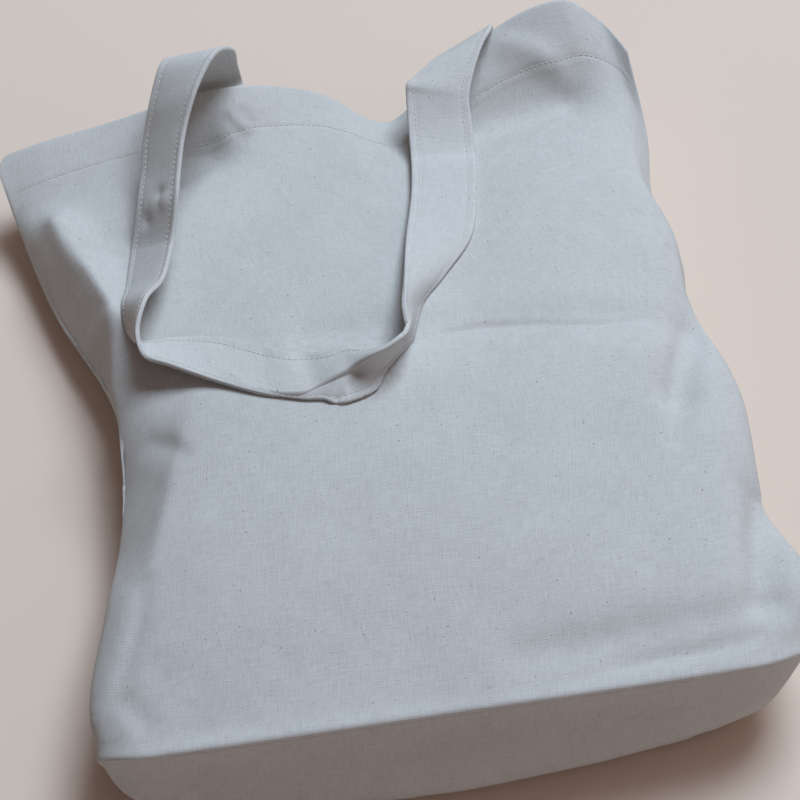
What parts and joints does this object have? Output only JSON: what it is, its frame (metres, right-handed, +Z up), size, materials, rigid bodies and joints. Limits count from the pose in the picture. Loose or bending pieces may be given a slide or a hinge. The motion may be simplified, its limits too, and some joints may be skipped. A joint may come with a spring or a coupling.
{
  "type": "cotton tote bag",
  "caption": "Plain unbleached cotton tote bag with a boxed bottom, lying on its back and filled out, its front handle laid over the front and its back handle tucked inside the open mouth.",
  "frame": {"origin": "centre of the bounding box in X and Y, on the surface that the bag lies on", "axes": "+X across the bag to the right as the picture shows it, +Y from the boxed bottom to the mouth, +Z up from the back to the front"},
  "size_m": [0.4062, 0.4727, 0.1365],
  "materials": {
    "canvas": "matte plain weave, unbleached",
    "handle_canvas": "matte plain weave, folded and stitched flat"
  },
  "bodies": {
    "root": {"front_panel": "canvas", "back_panel": "canvas", "bottom_gusset": "canvas", "front_handle": "handle_canvas", "back_handle": "handle_canvas"}
  },
  "joints": []
}
